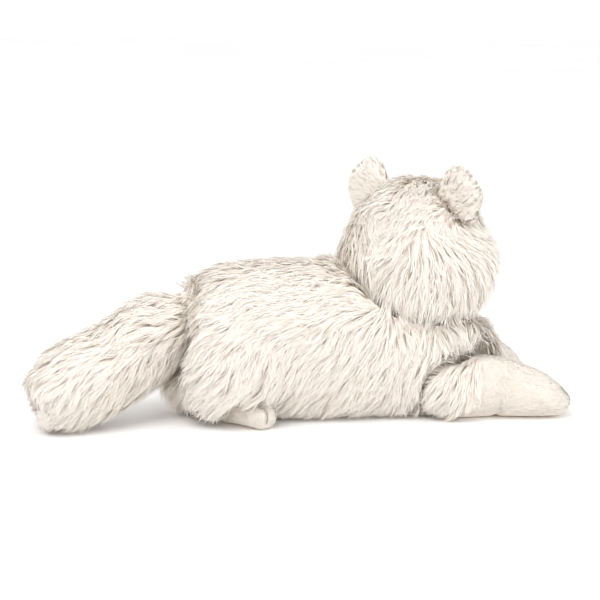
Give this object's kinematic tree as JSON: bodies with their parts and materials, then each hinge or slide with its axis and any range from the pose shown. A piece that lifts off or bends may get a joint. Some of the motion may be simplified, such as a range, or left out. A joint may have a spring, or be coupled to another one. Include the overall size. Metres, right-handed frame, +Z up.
{
  "type": "plush cat",
  "caption": "Long-haired cream plush cat lying flat with its head turned aside, sewn covers over soft filling, with flexing neck, ears, forelegs, hind feet and tail.",
  "frame": {"origin": "on the floor under the middle of the trunk, where the belly rests", "axes": "+X towards the cat's chest and paws, +Y to the cat's left, +Z up"},
  "size_m": [0.3866, 0.1223, 0.1761],
  "materials": {
    "long_pile_fur": "long soft cream-white pile",
    "short_pile_plush": "short dense cream pile",
    "polyester_filling": "loose white polyester fibre",
    "embroidery_thread": "grey-brown stranded thread",
    "eye_plastic": "polished coloured plastic with a dark pupil",
    "washer_plastic": "plain moulded plastic",
    "nose_velour": "brushed pink velour",
    "ear_velour": "short pale pink velour",
    "bag_cloth": "plain woven lining cloth",
    "pellets": "small moulded pellets"
  },
  "bodies": {
    "torso": {"torso_side_left": "long_pile_fur", "torso_side_right": "long_pile_fur", "belly_panel": "long_pile_fur", "torso_stuffing": "polyester_filling", "pellet_bag": "bag_cloth", "pellet_fill": "pellets", "haunch_cover_left": "long_pile_fur", "haunch_cover_right": "long_pile_fur", "haunch_stuffing_left": "polyester_filling", "haunch_stuffing_right": "polyester_filling"},
    "hind_foot_left": {"hind_foot_cover_left": "short_pile_plush", "hind_foot_stuffing_left": "polyester_filling", "hind_toe_stitches_left": "embroidery_thread"},
    "hind_foot_right": {"hind_foot_cover_right": "short_pile_plush", "hind_foot_stuffing_right": "polyester_filling", "hind_toe_stitches_right": "embroidery_thread"},
    "neck": {"neck_stuffing": "polyester_filling"},
    "head": {"head_back_left": "long_pile_fur", "head_back_right": "long_pile_fur", "face_panel": "long_pile_fur", "muzzle_pad": "long_pile_fur", "head_stuffing": "polyester_filling", "eye_left": "eye_plastic", "eye_right": "eye_plastic", "eye_washer_left": "washer_plastic", "eye_washer_right": "washer_plastic", "nose": "nose_velour", "mouth_stitch": "embroidery_thread"},
    "ear_left": {"ear_back_left": "long_pile_fur", "ear_lining_left": "ear_velour"},
    "ear_right": {"ear_back_right": "long_pile_fur", "ear_lining_right": "ear_velour"},
    "foreleg_left": {"foreleg_outer_left": "short_pile_plush", "foreleg_inner_left": "short_pile_plush", "foreleg_stuffing_left": "polyester_filling", "toe_stitches_left": "embroidery_thread"},
    "foreleg_right": {"foreleg_outer_right": "short_pile_plush", "foreleg_inner_right": "short_pile_plush", "foreleg_stuffing_right": "polyester_filling", "toe_stitches_right": "embroidery_thread"},
    "tail_root": {"tail_root_stuffing": "polyester_filling"},
    "tail": {"tail_upper": "long_pile_fur", "tail_lower": "long_pile_fur", "tail_stuffing": "polyester_filling"}
  },
  "joints": [
    {"name": "head_turn", "type": "hinge", "parent": "torso", "child": "neck", "pos_m": [0.095, 0, 0.114], "axis": [0, 0, 1], "range_deg": [-22, 22], "stiffness_Nm_per_rad": 0.3},
    {"name": "head_nod", "type": "hinge", "parent": "neck", "child": "head", "pos_m": [0.095, 0, 0.114], "axis": [-0.6428, 0.766, 0], "range_deg": [-8, 12], "stiffness_Nm_per_rad": 0.6},
    {"name": "ear_fold_left", "type": "hinge", "parent": "head", "child": "ear_left", "pos_m": [0.06573, 0.02244, 0.1505], "axis": [-0.52, 0.6197, -0.5878], "range_deg": [-20, 20], "stiffness_Nm_per_rad": 0.02},
    {"name": "ear_fold_right", "type": "hinge", "parent": "head", "child": "ear_right", "pos_m": [0.11201, -0.03272, 0.1505], "axis": [-0.52, 0.6197, 0.5878], "range_deg": [-20, 20], "stiffness_Nm_per_rad": 0.02},
    {"name": "foreleg_lift_left", "type": "hinge", "parent": "torso", "child": "foreleg_left", "pos_m": [0.11, 0.031, 0.024], "axis": [0, -1, 0], "range_deg": [0, 15], "stiffness_Nm_per_rad": 0.15},
    {"name": "foreleg_lift_right", "type": "hinge", "parent": "torso", "child": "foreleg_right", "pos_m": [0.11, -0.031, 0.024], "axis": [0, -1, 0], "range_deg": [0, 15], "stiffness_Nm_per_rad": 0.15},
    {"name": "hind_foot_swing_left", "type": "hinge", "parent": "torso", "child": "hind_foot_left", "pos_m": [-0.044, 0.028, 0.01], "axis": [0, 0, 1], "range_deg": [-8, 8], "stiffness_Nm_per_rad": 0.05},
    {"name": "hind_foot_swing_right", "type": "hinge", "parent": "torso", "child": "hind_foot_right", "pos_m": [-0.044, -0.028, 0.01], "axis": [0, 0, 1], "range_deg": [-8, 8], "stiffness_Nm_per_rad": 0.05},
    {"name": "tail_swing", "type": "hinge", "parent": "torso", "child": "tail_root", "pos_m": [-0.07, 0, 0.066], "axis": [0, 0, 1], "range_deg": [-38, 8], "stiffness_Nm_per_rad": 0.1},
    {"name": "tail_lift", "type": "hinge", "parent": "tail_root", "child": "tail", "pos_m": [-0.07, 0, 0.066], "axis": [0, 1, 0], "range_deg": [0, 30], "stiffness_Nm_per_rad": 0.1}
  ]
}
